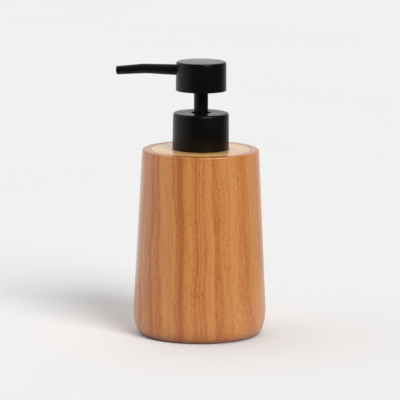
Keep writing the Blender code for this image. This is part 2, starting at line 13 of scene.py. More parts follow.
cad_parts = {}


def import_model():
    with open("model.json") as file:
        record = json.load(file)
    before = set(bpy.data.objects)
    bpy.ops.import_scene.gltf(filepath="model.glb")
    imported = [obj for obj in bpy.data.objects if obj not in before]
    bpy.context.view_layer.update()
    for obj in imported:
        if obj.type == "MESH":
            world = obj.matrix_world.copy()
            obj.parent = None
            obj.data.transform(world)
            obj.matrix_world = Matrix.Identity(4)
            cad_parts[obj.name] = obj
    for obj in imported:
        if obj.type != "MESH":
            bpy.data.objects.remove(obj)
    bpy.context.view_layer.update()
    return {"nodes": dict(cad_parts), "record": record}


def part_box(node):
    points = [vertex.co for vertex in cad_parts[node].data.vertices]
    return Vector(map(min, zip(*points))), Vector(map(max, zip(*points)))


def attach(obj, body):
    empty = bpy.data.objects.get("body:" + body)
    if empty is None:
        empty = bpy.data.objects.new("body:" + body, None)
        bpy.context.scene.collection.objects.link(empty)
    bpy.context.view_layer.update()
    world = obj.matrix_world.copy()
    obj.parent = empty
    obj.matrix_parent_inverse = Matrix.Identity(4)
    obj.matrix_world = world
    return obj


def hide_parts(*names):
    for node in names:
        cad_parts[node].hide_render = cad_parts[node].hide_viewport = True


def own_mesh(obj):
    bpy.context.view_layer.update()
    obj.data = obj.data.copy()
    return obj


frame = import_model()

MM = 0.001
GAP = 0.3 * MM  # clearance that the CAD pieces keep
MERGE = 0.0005 * MM
SHARP = 30  # edges that turn by more degrees than this are shaded sharp

# How far edges are rounded
SOFT_EDGE = 0.12 * MM  # moulded and sheet metal pieces
ARRIS = 0.25 * MM  # wood and foam
LIP = 0.35 * MM  # the spout's tip
EDGE_SHARE = 0.45  # most of an edge that one rounded corner takes up
SMALL_CORNER = 0.5 * MM
SMALL_CORNER_STEPS = 3
LARGE_CORNER_STEPS = 10
LIP_STEPS = 8
ROUNDING_STEPS = 28  # of the body's large bottom edge
RIM_STEPS = 8

# Flat sides on a full turn
FINE_SIDES = 160
ROUND_SIDES = 96
SMALL_SIDES = 64

# Camera, as it stood for the photograph
CAMERA_HEIGHT = 80.7 * MM  # of the point it looks at
CAMERA_ASIDE = 0.2 * MM  # how far that point is to the left of the pump's axis
CAMERA_DISTANCE = 2.0
CAMERA_AZIMUTH = radians(14.0)
CAMERA_ELEVATION = radians(9.55)
CAMERA_ROLL = radians(0.4)
CAMERA_LENS = 300.9  # focal length in mm
CAMERA_SENSOR = 36.0  # width in mm

# Light: turns are to the right of the camera, seen from the object
KEY_TURN = radians(33.0)
KEY_ELEVATION = radians(38.0)
KEY_SPREAD = radians(30.0)
KEY_STRENGTH = 2.12
FILL_TURN = 0.0
FILL_ELEVATION = radians(65.0)
FILL_SPREAD = radians(110.0)
FILL_STRENGTH = 0.62
DARK_SIDE_TURN = radians(35.0)
DARK_EDGE = (-0.5, 0.8)  # where dark turns to white: -1 is the dark side, 1 is the side away from it
DARK_LEVEL = 0.07
WHITE_LEVEL = 0.91


# ---------------------------------------------------------------- shapes


def arc(centre, radii, start, end, steps):
    """Points (radius, height) along an elliptical arc, between two angles in degrees."""
    angles = [radians(start + (end - start) * i / steps) for i in range(steps + 1)]
    return [(centre[0] + radii[0] * cos(a), centre[1] + radii[1] * sin(a)) for a in angles]


def finish_mesh(name, shape, material):
    """Makes an object of a bmesh, with outward faces, shaded smooth but for its sharp edges."""
    bmesh.ops.remove_doubles(shape, verts=shape.verts, dist=MERGE)
    bmesh.ops.recalc_face_normals(shape, faces=shape.faces)
    mesh = bpy.data.meshes.new(name)
    shape.to_mesh(mesh)
    shape.free()
    mesh.shade_smooth()
    mesh.set_sharp_from_angle(angle=radians(SHARP))
    mesh.materials.append(material)
    obj = bpy.data.objects.new(name, mesh)
    bpy.context.scene.collection.objects.link(obj)
    return obj


def rounded(outline, usual):
    """The outline with an arc at each corner. An arc's radius is its point's third value, or the usual one.
    Points on the axis stay as they are."""
    points = [Vector(point[:2]) for point in outline]
    curved = []
    for i, here in enumerate(points):
        to_before = points[i - 1] - here
        to_after = points[(i + 1) % len(points)] - here
        half = to_before.angle(to_after) / 2
        radius = outline[i][2] if len(outline[i]) > 2 else usual
        room = EDGE_SHARE * min(to_before.length, to_after.length)
        reach = min(radius / tan(half), room)
        if here.x < MERGE or reach < MERGE:
            curved.append((here.x, here.y))
            continue
        radius = reach * tan(half)
        centre = here + (to_before.normalized() + to_after.normalized()).normalized() * radius / sin(half)
        first = here + to_before.normalized() * reach - centre
        last = here + to_after.normalized() * reach - centre
        steps = SMALL_CORNER_STEPS if radius < SMALL_CORNER else LARGE_CORNER_STEPS
        swing = pi - 2 * half
        for step in range(steps + 1):
            turn = swing * step / steps
            point = centre + (first * sin(swing - turn) + last * sin(turn)) / sin(swing)
            curved.append((point.x, point.y))
    return curved


def turned(name, outline, material, sides=FINE_SIDES):
    """A solid turned about Z from a closed outline of (radius, height) points."""
    shape = bmesh.new()
    points = [shape.verts.new((radius, 0, height)) for radius, height in outline]
    pairs = zip(points, points[1:] + points[:1])
    edges = [shape.edges.new(ends) for ends in pairs if ends[0].co.x + ends[1].co.x > 0]
    bmesh.ops.spin(
        shape, geom=points + edges, cent=(0, 0, 0), axis=(0, 0, 1), angle=2 * pi, steps=sides, use_merge=True
    )
    return finish_mesh(name, shape, material)


def skin(shape, rings):
    for ring, following in zip(rings, rings[1:]):
        for corners in zip(ring, ring[1:] + ring[:1], following[1:] + following[:1], following):
            shape.faces.new(corners)


def swept(name, sections, material, closed=False):
    """A solid through sections of points: capped at both ends, or closed on itself as a hollow tube is."""
    shape = bmesh.new()
    rings = [[shape.verts.new(point) for point in section] for section in sections]
    if closed:
        skin(shape, rings + rings[:1])
    else:
        skin(shape, rings)
        shape.faces.new(rings[0])
        shape.faces.new(rings[-1])
    return finish_mesh(name, shape, material)


def bar(radius, start, end, material):
    """A plain rod between two points, to join to a piece or to cut from it."""
    turn = (end - start).to_track_quat("Z", "Y")
    angles = [2 * pi * i / SMALL_SIDES for i in range(SMALL_SIDES)]
    circle = [turn @ Vector((radius * cos(a), radius * sin(a), 0)) for a in angles]
    return swept("bar", [[place + point for point in circle] for place in (start, end)], material)


def thread(wall, height, start, turns, material):
    """A helical ridge on a round wall: outwards where its height is positive, inwards where negative."""
    steps = round(turns * THREAD_STEPS)
    sink = THREAD_SINK if height > 0 else -THREAD_SINK
    sections = []
    for i in range(steps + 1):
        fade = min(1.0, (i + 1) / THREAD_RUN_OUT, (steps - i + 1) / THREAD_RUN_OUT)
        angle = 2 * pi * i / THREAD_STEPS
        middle = start + THREAD_PITCH * i / THREAD_STEPS
        root, crest = wall - sink, wall + height * fade
        shoulder = wall + THREAD_SHOULDER * height * fade
        half_root, half_crest = THREAD_ROOT_WIDTH / 2, THREAD_CREST_WIDTH / 2
        rise = [(root, -half_root), (shoulder, -half_crest), (crest, -half_crest / 2)]
        profile = rise + [(radius, -z) for radius, z in reversed(rise)]
        sections.append([(radius * cos(angle), radius * sin(angle), middle + z) for radius, z in profile])
    return swept("ridge", sections, material)


def combine(obj, helper, operation):
    """Joins a helper to a piece, or cuts it from the piece, and removes the helper."""
    modifier = obj.modifiers.new("combine", "BOOLEAN")
    modifier.operation = operation
    modifier.object = helper
    evaluated = obj.evaluated_get(bpy.context.evaluated_depsgraph_get())
    mesh = bpy.data.meshes.new_from_object(evaluated)
    obj.modifiers.clear()
    obj.data = mesh
    mesh.set_sharp_from_angle(angle=radians(SHARP))
    bpy.data.objects.remove(helper)


def stand_for(obj, body, slot, *nodes):
    """The piece rides on a CAD body and replaces CAD nodes. Its slot is not used."""
    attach(obj, body)
    if nodes:
        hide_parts(*nodes)


# ---------------------------------------------------------------- materials


class Shading:
    """A material's node tree, with short ways to add the nodes that the recipes below use."""

    def __init__(self, name, roughness, **sockets):
        self.material = bpy.data.materials.new(name)
        self.material.use_nodes = True
        self.tree = self.material.node_tree
        self.shader = self.tree.nodes["Principled BSDF"]
        self.shader.inputs["Roughness"].default_value = roughness
        for socket, value in sockets.items():
            self.shader.inputs[socket.replace("_", " ")].default_value = value
        self.place = self.add("ShaderNodeTexCoord").outputs["Object"]

    def add(self, kind, **settings):
        node = self.tree.nodes.new(kind)
        for key, value in settings.items():
            setattr(node, key, value)
        return node

    def feed(self, socket, value):
        """Links an output into a socket, or sets the socket to a plain value."""
        if isinstance(value, bpy.types.NodeSocket):
            self.tree.links.new(value, socket)
        else:
            socket.default_value = value

    def math(self, operation, a, b=0.0, c=0.0):
        node = self.add("ShaderNodeMath", operation=operation)
        for socket, value in zip(node.inputs, (a, b, c)):
            self.feed(socket, value)
        return node.outputs[0]

    def vector(self, operation, a, b=(0.0, 0.0, 0.0)):
        node = self.add("ShaderNodeVectorMath", operation=operation)
        self.feed(node.inputs[0], a)
        self.feed(node.inputs[1], b)
        return node.outputs["Value" if operation == "LENGTH" else "Vector"]

    def mapped(self, source, scale=(1, 1, 1), rotation=(0, 0, 0), location=(0, 0, 0)):
        node = self.add("ShaderNodeMapping", vector_type="POINT")
        self.feed(node.inputs["Vector"], source)
        node.inputs["Scale"].default_value = scale
        node.inputs["Rotation"].default_value = [radians(angle) for angle in rotation]
        node.inputs["Location"].default_value = location
        return node.outputs[0]

    def noise(self, source, detail, roughness, output="Fac"):
        node = self.add("ShaderNodeTexNoise", noise_dimensions="3D")
        self.feed(node.inputs["Vector"], source)
        node.inputs["Scale"].default_value = 1.0
        node.inputs["Detail"].default_value = detail
        node.inputs["Roughness"].default_value = roughness
        return node.outputs[output]

    def noise_1d(self, source, scale, detail, roughness):
        node = self.add("ShaderNodeTexNoise", noise_dimensions="1D")
        self.feed(node.inputs["W"], source)
        node.inputs["Scale"].default_value = scale
        node.inputs["Detail"].default_value = detail
        node.inputs["Roughness"].default_value = roughness
        return node.outputs["Fac"]

    def cells(self, source):
        """Distance to the nearest of the points that are scattered one to a unit cube."""
        node = self.add("ShaderNodeTexVoronoi", voronoi_dimensions="3D", feature="F1")
        self.feed(node.inputs["Vector"], source)
        node.inputs["Scale"].default_value = 1.0
        return node.outputs["Distance"]

    def between(self, source, low, high, to_low=0.0, to_high=1.0):
        node = self.add("ShaderNodeMapRange", interpolation_type="SMOOTHSTEP")
        for socket, value in zip(node.inputs, (source, low, high, to_low, to_high)):
            self.feed(socket, value)
        return node.outputs[0]

    def ramp(self, source, stops):
        node = self.add("ShaderNodeValToRGB")
        self.feed(node.inputs[0], source)
        elements = node.color_ramp.elements
        while len(elements) < len(stops):
            elements.new(0.5)
        for element, (position, colour) in zip(elements, stops):
            element.position = position
            element.color = (*colour, 1.0)
        return node.outputs[0]

    def mix(self, share, a, b, blend="MIX"):
        node = self.add("ShaderNodeMix", data_type="RGBA", blend_type=blend)
        for socket, value in zip((node.inputs[0], node.inputs[6], node.inputs[7]), (share, a, b)):
            self.feed(socket, value if not isinstance(value, tuple) else (*value, 1.0))
        return node.outputs[2]

    def paint(self, colour):
        self.feed(self.shader.inputs["Base Color"], colour)

    def across(self, noise, low, high):
        """From low to high over the range that a noise mostly keeps to."""
        return self.between(noise, 0.3, 0.7, low, high)

    def roughen(self, roughness):
        self.feed(self.shader.inputs["Roughness"], roughness)

    def height_of_normal(self):
        """How far a face looks up: 1 for up, -1 for down."""
        return self.z_of(self.add("ShaderNodeTexCoord").outputs["Normal"])

    def z_of(self, source):
        node = self.add("ShaderNodeSeparateXYZ")
        self.feed(node.inputs[0], source)
        return node.outputs["Z"]

    def bump(self, height, distance, strength):
        """Bump of this depth in metres where the height runs from 0 to 1."""
        node = self.add("ShaderNodeBump")
        node.inputs["Strength"].default_value = strength
        node.inputs["Distance"].default_value = distance
        self.feed(node.inputs["Height"], height)
        self.feed(self.shader.inputs["Normal"], node.outputs[0])


def millimetres(shade):
    """Object coordinates in millimetres."""
    return shade.mapped(shade.place, scale=(1000, 1000, 1000))


# The honey wood, with lengths in millimetres
GRAIN_TILT = (0.0, 1.5, -14.0)  # degrees by which the block that the body was cut from is turned
GRAIN_SQUEEZE_AT_FOOT = 0.933  # how much narrower than its noise the grain is
GRAIN_SQUEEZE_RISE = 0.0012  # per millimetre of height
GRAIN_WANDER = (20.0, 20.0, 0.0)
PITH = (260.0, -30.0, 0.0)  # the middle of the tree, off to the right
BROAD_BANDS_START = 2558.5  # which stretch of their noise the bands show
RINGS_START = 241.4
BAND_SHARES = (0.45, 0.33, 0.25)  # of the rings, the broad bands and the streaks
PAINTED_LIGHT_RIGHT = 0.09  # painted light: how much paler the wood is made at the right of the body, where the key light falls
PAINTED_LIGHT_RIGHT_RINGS = (226.0, 256.0)  # radii of the rings over which that fades
# Painted light: how much paler the wood is made at the left of the body
PAINTED_LIGHT_LEFT = 0.035
PAINTED_LIGHT_LEFT_RINGS = (262.0, 280.0)
HONEY_TONES = [  # from dark to pale
    (0.0, (0.415, 0.110, 0.026)),
    (0.33, (0.500, 0.165, 0.040)),
    (0.62, (0.560, 0.215, 0.054)),
    (1.0, (0.620, 0.270, 0.078)),
]
PORE_TONE = (0.27, 0.066, 0.015)
PORE_DEPTH = 0.72  # how strongly a pore darkens the wood
RIM_TONE = (0.46, 0.115, 0.014)
# Painted shade: the colour that the foot is darkened towards where its faces turn down
FOOT_PAINTED_SHADE = (0.22, 0.065, 0.020)

POLISH = 0.08  # how much less rough the top of the head is
POLISH_HEIGHTS = (163.6, 164.1)  # in millimetres, from no polish to all of it


def fanned(shade, block):
    """The block, drawn together a little towards the top, so that the grain fans out to the foot."""
    fan = shade.add("ShaderNodeCombineXYZ")
    squeeze = shade.math("MULTIPLY_ADD", shade.z_of(block), GRAIN_SQUEEZE_RISE, GRAIN_SQUEEZE_AT_FOOT)
    for socket, value in zip(fan.inputs, (squeeze, squeeze, 1.0)):
        shade.feed(socket, value)
    return shade.vector("MULTIPLY", block, fan.outputs[0])


def wandering(shade, block):
    """The block with a slow wander across the grain."""
    slow = shade.mapped(block, scale=(0.022, 0.022, 0.009), location=(24.0, 0.0, 0.0))
    wander = shade.vector("SUBTRACT", shade.noise(slow, 2.0, 0.5, "Color"), (0.5, 0.5, 0.5))
    return shade.vector("ADD", block, shade.vector("MULTIPLY", wander, GRAIN_WANDER))


def honey_bands_and_painted_light(shade, block):
    """How pale the wood is, from 0 to 1: broad bands of a few rings, the rings themselves, and streaks that
    come and go along the grain. Both sides of the body are made paler with painted light, the right side more."""
    from_pith = shade.vector("SUBTRACT", block, PITH)
    ring = shade.vector("LENGTH", shade.vector("MULTIPLY", from_pith, (1.0, 1.0, 0.0)))
    of_rings, of_broad, of_streaks = BAND_SHARES
    broad = shade.noise_1d(shade.math("ADD", ring, BROAD_BANDS_START), 0.12, 1.0, 0.5)
    rings = shade.noise_1d(shade.math("ADD", ring, RINGS_START), 0.21, 2.0, 0.55)
    streaks = shade.noise(shade.mapped(block, scale=(0.5, 0.5, 0.03)), 3.0, 0.6)
    band = shade.math("MULTIPLY_ADD", rings, of_rings, shade.math("MULTIPLY", broad, of_broad))
    band = shade.math("MULTIPLY_ADD", streaks, of_streaks, band)
    # Painted light: the right and left sides of the body are made paler
    painted_light_right = shade.between(ring, *PAINTED_LIGHT_RIGHT_RINGS, PAINTED_LIGHT_RIGHT, 0.0)
    painted_light_left = shade.between(ring, *PAINTED_LIGHT_LEFT_RINGS, 0.0, PAINTED_LIGHT_LEFT)
    band = shade.math("ADD", band, shade.math("ADD", painted_light_right, painted_light_left))
    return shade.between(band, 0.31, 0.74)


def honey_pores(shade, block, paleness):
    """Pores: short dashes along the grain, large and small, more of them where the wood is dark."""
    crowding = shade.between(paleness, 0.2, 0.9, 1.0, 0.45)
    long_cells = shade.mapped(block, scale=(0.8, 0.8, 0.17))
    pores = shade.between(shade.cells(long_cells), 0.14, 0.26, 1.0, 0.0)
    small_cells = shade.mapped(block, scale=(1.7, 1.7, 0.35), location=(31.0, 7.0, 3.0))
    fine_pores = shade.between(shade.cells(small_cells), 0.14, 0.34, 0.75, 0.0)
    return shade.math("MULTIPLY", shade.math("MAXIMUM", pores, fine_pores), crowding)


def honey_wood():
    """Open-pored hardwood under a satin lacquer: bands across the grain, fibres and pores along it."""
    shade = Shading("honey_wood", 0.45, Coat_Weight=0.95, Coat_Roughness=0.25, Specular_IOR_Level=0.1)
    block = wandering(shade, fanned(shade, shade.mapped(millimetres(shade), rotation=GRAIN_TILT)))
    paleness = honey_bands_and_painted_light(shade, block)
    fibres = shade.noise(shade.mapped(block, scale=(2.2, 2.2, 0.08)), 4.0, 0.6)
    pores = honey_pores(shade, block, paleness)
    tone = shade.vector("MULTIPLY", (1.0, 1.0, 1.0), shade.across(fibres, 0.89, 1.09))
    colour = shade.mix(1.0, shade.ramp(paleness, HONEY_TONES), tone, "MULTIPLY")
    colour = shade.mix(shade.math("MULTIPLY", pores, PORE_DEPTH), colour, PORE_TONE)

    # The end grain takes up more lacquer: it is redder on the rim. Where the faces turn down under the foot,
    # the wood is darkened with painted shade.
    upward = shade.height_of_normal()
    colour = shade.mix(shade.between(upward, 0.6, 0.98, 0.0, 0.5), colour, RIM_TONE)
    shade.paint(shade.mix(shade.between(upward, -0.8, -0.15, 0.85, 0.0), colour, FOOT_PAINTED_SHADE))
    shade.roughen(shade.across(fibres, 0.4, 0.5))
    relief = shade.math("MULTIPLY_ADD", pores, -0.8, shade.math("MULTIPLY", fibres, 0.3))
    shade.bump(relief, 0.04 * MM, 0.5)
    return shade.material


def pale_wood():
    """Smooth pale wood with its grain lying along the disc, under the same lacquer."""
    shade = Shading("pale_wood", 0.45, Coat_Weight=0.9, Coat_Roughness=0.2, Specular_IOR_Level=0.1)
    block = shade.mapped(millimetres(shade), rotation=(0.0, 0.0, 38.0))
    grain = shade.noise(shade.mapped(block, scale=(0.05, 0.6, 0.6)), 4.0, 0.6)
    clouds = shade.noise(shade.mapped(block, scale=(0.03, 0.05, 0.05)), 2.0, 0.5)
    share = shade.math("MULTIPLY_ADD", clouds, 0.4, shade.math("MULTIPLY", grain, 0.6))
    colour = shade.ramp(
        shade.between(share, 0.32, 0.68),
        [(0.0, (0.72, 0.36, 0.112)), (0.5, (0.84, 0.46, 0.160)), (1.0, (0.92, 0.58, 0.240))],
    )
    flecks = shade.cells(shade.mapped(block, scale=(0.22, 1.3, 1.3)))
    colour = shade.mix(shade.between(flecks, 0.15, 0.28, 0.45, 0.0), colour, (0.50, 0.25, 0.08))
    shade.paint(colour)
    shade.roughen(shade.across(grain, 0.4, 0.5))
    shade.bump(grain, 0.03 * MM, 0.4)
    return shade.material


def black_metal():
    """Satin black coating on thin metal, with faint orange peel, and polished by hands on top of the head."""
    shade = Shading("black_metal", 0.3, Specular_IOR_Level=0.21)
    place = millimetres(shade)
    peel = shade.noise(shade.mapped(place, scale=(2.2, 2.2, 2.2)), 3.0, 0.55)
    patches = shade.noise(shade.mapped(place, scale=(0.09, 0.09, 0.09)), 2.0, 0.5)
    shade.paint(shade.ramp(patches, [(0.3, (0.0026, 0.0023, 0.0019)), (0.7, (0.0040, 0.0036, 0.0030))]))
    polish = shade.between(shade.z_of(place), *POLISH_HEIGHTS, 0.0, POLISH)
    shade.roughen(shade.math("SUBTRACT", shade.across(peel, 0.26, 0.34), polish))
    shade.bump(peel, 0.012 * MM, 0.5)
    return shade.material


def moulded(name, dark, light, roughness, **sockets):
    """Moulded plastic or rubber: an even colour with faint flow marks and a fine matt texture."""
    shade = Shading(name, roughness, **sockets)
    place = millimetres(shade)
    flow = shade.noise(shade.mapped(place, scale=(0.12, 0.12, 0.05)), 3.0, 0.55)
    texture = shade.noise(shade.mapped(place, scale=(4.0, 4.0, 4.0)), 2.0, 0.6)
    shade.paint(shade.ramp(flow, [(0.3, dark), (0.7, light)]))
    shade.roughen(shade.across(texture, roughness - 0.05, roughness + 0.07))
    shade.bump(texture, 0.02 * MM, 0.4)
    return shade.material


def steel():
    """Drawn stainless wire and ground balls, with fine draw lines."""
    shade = Shading("steel", 0.25, Metallic=1.0)
    place = millimetres(shade)
    lines = shade.noise(shade.mapped(place, scale=(6.0, 6.0, 1.2)), 3.0, 0.6)
    shade.paint(shade.ramp(lines, [(0.3, (0.46, 0.46, 0.47)), (0.7, (0.60, 0.60, 0.61))]))
    shade.roughen(shade.across(lines, 0.2, 0.34))
    shade.bump(lines, 0.01 * MM, 0.3)
    return shade.material


MATERIALS = {
    "honey_wood": honey_wood(),
    "pale_wood": pale_wood(),
    "black_metal": black_metal(),
    "black_plastic": moulded("black_plastic", (0.007, 0.007, 0.007), (0.012, 0.012, 0.012), 0.45),
    "natural_plastic": moulded(
        "natural_plastic", (0.66, 0.68, 0.66), (0.76, 0.77, 0.75), 0.35, Subsurface_Weight=0.15,
        Subsurface_Scale=1.5 * MM,
    ),
    "black_foam": moulded("black_foam", (0.008, 0.008, 0.008), (0.02, 0.02, 0.019), 0.85),
    "grey_rubber": moulded("grey_rubber", (0.20, 0.20, 0.21), (0.27, 0.27, 0.28), 0.6),
    "steel": steel(),
}


# ---------------------------------------------------------------- the wooden body and what stands in it

BODY_FOOT_RADIUS = 34.6 * MM
BODY_WIDEST_HEIGHT = 15.0 * MM
BODY_TOP_RADIUS = 34.95 * MM
RIM_FILLET = 1.2 * MM
DISC_JOINT = 0.06 * MM  # round the disc, which is a close fit in the rim
BORE_FLOOR = 8.0 * MM
DISC_HOLE_RADIUS = 14.0 * MM
LINER_WALL = 1.3 * MM
LINER_SHOULDER = 105.6 * MM
LINER_CORNER = 5.0 * MM
NECK_RADIUS = 12.45 * MM
NECK_BORE = 10.9 * MM
THREAD_PITCH = 4.233 * MM
THREAD_HEIGHT = 1.1 * MM
THREAD_ROOT_WIDTH = 2.0 * MM
THREAD_CREST_WIDTH = 1.0 * MM
THREAD_SHOULDER = 0.8  # of the height, where the thread's flank turns to its crest
THREAD_SINK = 0.4 * MM
THREAD_STEPS = 60
THREAD_RUN_OUT = 12
NECK_THREAD_START = 117.4 * MM
NECK_THREAD_TURNS = 1.5
CAP_THREAD_TURNS = 1.25


def wood_body():
    low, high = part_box("wood_shell")
    pad_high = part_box("base_pad")[1]
    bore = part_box("top_disc")[1].x + DISC_JOINT
    recess = pad_high.x + 2 * GAP
    recess_top = pad_high.z + GAP
    rounding_radii = (high.x - BODY_FOOT_RADIUS, BODY_WIDEST_HEIGHT - low.z)
    rounding = arc((BODY_FOOT_RADIUS, BODY_WIDEST_HEIGHT), rounding_radii, 0, -90, ROUNDING_STEPS)
    rim_centre = (BODY_TOP_RADIUS - RIM_FILLET, high.z - RIM_FILLET)
    rim = arc(rim_centre, (RIM_FILLET, RIM_FILLET), 90, 0, RIM_STEPS)
    inside = [
        (recess + ARRIS, low.z),
        (recess, low.z + ARRIS),
        (recess, recess_top),
        (0, recess_top),
        (0, BORE_FLOOR),
        (bore, BORE_FLOOR),
        (bore, high.z - ARRIS),
        (bore + ARRIS, high.z),
    ]
    body = turned("wood_body", rim + rounding + inside, MATERIALS["honey_wood"])
    stand_for(body, "bottle", "honey_wood", "wood_shell")


def turned_piece(name, outline, body, slot, node, soft=SOFT_EDGE, sides=ROUND_SIDES):
    """A turned piece with every edge a little rounded, in the place of its CAD node."""
    obj = turned(name, rounded(outline, soft), MATERIALS[slot], sides)
    stand_for(obj, body, slot, node)
    return obj


def plain_ring(name, inner, body, slot, node, soft=SOFT_EDGE, sides=ROUND_SIDES):
    """A ring, or a disc where the inner radius is 0, as wide and as high as its CAD node."""
    low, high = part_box(node)
    outline = [(high.x, high.z), (high.x, low.z), (inner, low.z), (inner, high.z)]
    return turned_piece(name, outline, body, slot, node, soft, sides)


def inner_bottle():
    """The bottle inside the wood, with round shoulders and a threaded neck."""
    low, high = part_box("liner_bottle")
    inner_corner = LINER_CORNER - LINER_WALL
    wall = high.x - LINER_WALL
    outline = [
        (NECK_RADIUS, high.z),
        (NECK_RADIUS, LINER_SHOULDER),
        (high.x, LINER_SHOULDER, LINER_CORNER),
        (high.x, low.z, LINER_CORNER),
        (0, low.z),
        (0, low.z + LINER_WALL),
        (wall, low.z + LINER_WALL, inner_corner),
        (wall, LINER_SHOULDER - LINER_WALL, inner_corner),
        (NECK_BORE, LINER_SHOULDER - LINER_WALL),
        (NECK_BORE, high.z),
    ]
    bottle = turned_piece("inner_bottle", outline, "bottle", "natural_plastic", "liner_bottle")
    ridge = thread(
        NECK_RADIUS, THREAD_HEIGHT, NECK_THREAD_START, NECK_THREAD_TURNS, MATERIALS["natural_plastic"]
    )
    combine(bottle, ridge, "UNION")


# ---------------------------------------------------------------- the closure

COLLAR_TOP_RADIUS = 16.65 * MM
COLLAR_FILLET = 1.4 * MM
COLLAR_HOLE_RADIUS = 6.05 * MM
SHEET = 0.8 * MM  # wall of the metal sleeve and of the head's metal cap
CAP_BORE = 14.1 * MM
CAP_PLATE = 1.2 * MM
CAP_HOLE_RADIUS = 8.6 * MM


def cup_outline(foot, top, foot_radius, top_radius, fillet, hole):
    """A sheet metal cup, open below, with a round top edge and a round hole of this radius or 0."""
    return [
        (hole, top),
        (top_radius, top, fillet),
        (foot_radius, foot),
        (foot_radius - SHEET, foot),
        (top_radius - SHEET, top - SHEET),
        (hole, top - SHEET),
    ]


def collar_sleeve():
    low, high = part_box("collar_shell")
    outline = cup_outline(low.z, high.z, high.x, COLLAR_TOP_RADIUS, COLLAR_FILLET, COLLAR_HOLE_RADIUS)
    turned_piece("collar_sleeve", outline, "collar", "black_metal", "collar_shell", SOFT_EDGE, FINE_SIDES)


def screw_cap():
    low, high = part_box("threaded_cap")
    plate_foot = high.z - CAP_PLATE
    outline = [
        (CAP_HOLE_RADIUS, high.z),
        (high.x, high.z),
        (high.x, low.z),
        (CAP_BORE, low.z),
        (CAP_BORE, plate_foot),
        (CAP_HOLE_RADIUS, plate_foot),
    ]
    cap = turned_piece("screw_cap", outline, "collar", "black_plastic", "threaded_cap")
    start = NECK_THREAD_START - THREAD_PITCH / 2
    ridge = thread(CAP_BORE, -THREAD_HEIGHT, start, CAP_THREAD_TURNS, MATERIALS["black_plastic"])
    combine(cap, ridge, "UNION")


# ---------------------------------------------------------------- the pump under the collar

CYLINDER_RADIUS = 7.3 * MM
CYLINDER_BORE = 6.0 * MM
CYLINDER_MOUTH_RADIUS = 8.2 * MM
CYLINDER_MOUTH_BORE = 6.9 * MM
CYLINDER_MOUTH_DEPTH = 121.0 * MM
CYLINDER_FLANGE_FOOT = 128.9 * MM
CYLINDER_FLANGE = 1.0 * MM
CYLINDER_FLOOR = 84.2 * MM
VALVE_CHAMBER_RADIUS = 3.3 * MM
VALVE_CHAMBER_TOP = 81.8 * MM
VALVE_SEAT_TOP = 78.4 * MM
VALVE_SEAT_RADIUS = 1.8 * MM
VALVE_SEAT_FOOT = 76.9 * MM
SOCKET_WALL = 1.3 * MM
DIP_TUBE_BORE = 2.3 * MM
DIP_TUBE_SLANT = 0.6
CAGE_NIB = 1.6 * MM
CAGE_NIB_ROOT_RADIUS = 1.9 * MM
CAGE_NIB_TIP_RADIUS = 1.5 * MM
CAGE_HOLES = 4
CAGE_HOLE_RADIUS = 0.8 * MM
CAGE_HOLE_CIRCLE = 3.6 * MM
SPRING_WIRE = 0.5 * MM
SPRING_TURNS = 8
SPRING_STEPS = 32
SPRING_END_PITCH = 1.35 * MM
WIRE_SIDES = 12
GUIDE_RADIUS = 6.6 * MM
GUIDE_BORE = 4.6 * MM
GUIDE_FLANGE = 0.8 * MM


def pump_cylinder():
    """The cylinder from its mouth and flange down to the ball's seat and the tube's socket."""
    low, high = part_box("housing")
    tube_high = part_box("dip_tube")[1]
    socket_bore = tube_high.x + GAP
    socket_radius = socket_bore + SOCKET_WALL
    socket_top = tube_high.z + GAP
    flange_top = CYLINDER_FLANGE_FOOT + CYLINDER_FLANGE
    mouth_foot = CYLINDER_MOUTH_DEPTH - 2 * SOCKET_WALL
    outline = [
        (CYLINDER_MOUTH_RADIUS, high.z),
        (CYLINDER_MOUTH_RADIUS, flange_top),
        (high.x, flange_top),
        (high.x, CYLINDER_FLANGE_FOOT),
        (CYLINDER_MOUTH_RADIUS, CYLINDER_FLANGE_FOOT),
        (CYLINDER_MOUTH_RADIUS, mouth_foot),
        (CYLINDER_RADIUS, mouth_foot - GAP),
        (CYLINDER_RADIUS, CYLINDER_FLOOR - SOCKET_WALL),
        (socket_radius, VALVE_SEAT_TOP),
        (socket_radius, low.z),
        (socket_bore, low.z),
        (socket_bore, socket_top),
        (VALVE_SEAT_RADIUS, socket_top),
        (VALVE_SEAT_RADIUS, VALVE_SEAT_FOOT),
        (VALVE_CHAMBER_RADIUS, VALVE_SEAT_TOP),
        (VALVE_CHAMBER_RADIUS, VALVE_CHAMBER_TOP),
        (CYLINDER_BORE, CYLINDER_FLOOR),
        (CYLINDER_BORE, CYLINDER_MOUTH_DEPTH),
        (CYLINDER_MOUTH_BORE, CYLINDER_MOUTH_DEPTH),
        (CYLINDER_MOUTH_BORE, high.z),
    ]
    turned_piece("pump_cylinder", outline, "pump", "natural_plastic", "housing")


def guide_ring():
    """The ring that closes the cylinder: a flange over the cap and a skirt inside the cylinder's mouth."""
    low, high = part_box("chaplet")
    flange_foot = high.z - GUIDE_FLANGE
    outline = [
        (high.x, high.z),
        (high.x, flange_foot),
        (GUIDE_RADIUS, flange_foot),
        (GUIDE_RADIUS, low.z),
        (GUIDE_BORE, low.z),
        (GUIDE_BORE, high.z),
    ]
    turned_piece("guide_ring", outline, "pump", "black_plastic", "chaplet")


